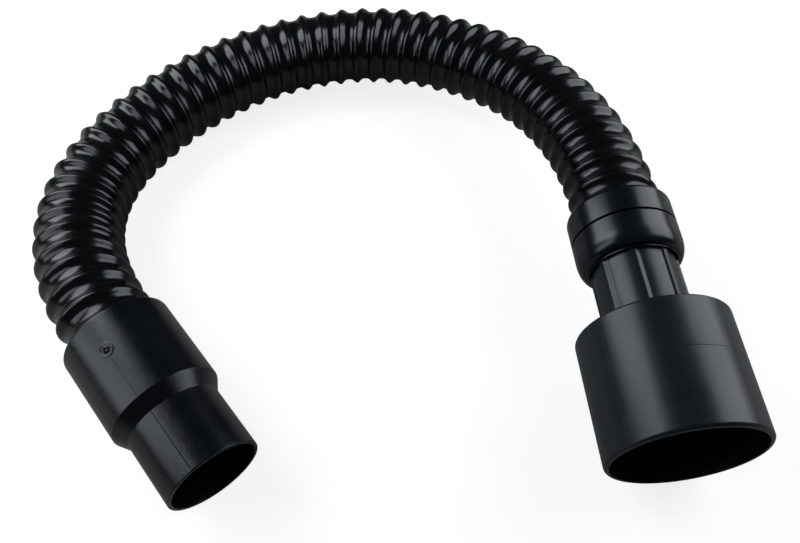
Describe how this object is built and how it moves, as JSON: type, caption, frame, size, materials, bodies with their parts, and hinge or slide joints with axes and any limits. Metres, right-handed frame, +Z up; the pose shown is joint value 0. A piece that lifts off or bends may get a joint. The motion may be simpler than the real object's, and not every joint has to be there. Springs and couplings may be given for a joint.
{
  "type": "flexible vacuum hose",
  "caption": "Short black corrugated vacuum hose lying in a bend, with a stepped tool cuff on one end and a ribbed round port adapter on the other.",
  "frame": {"origin": "centre of the footprint, on the surface that the hose lies on", "axes": "+X to the right, from the tool cuff's side to the port adapter's side; +Y from the two open ends towards the middle of the bend; +Z up"},
  "size_m": [0.2954, 0.2652, 0.0619],
  "materials": {
    "hose_black": "gloss",
    "cuff_black": "satin",
    "adapter_black": "satin"
  },
  "bodies": {
    "root": {"corrugated_hose": "hose_black", "tool_cuff": "cuff_black", "port_adapter": "adapter_black", "collar_ring": "adapter_black", "collar_cap": "adapter_black"}
  },
  "joints": []
}
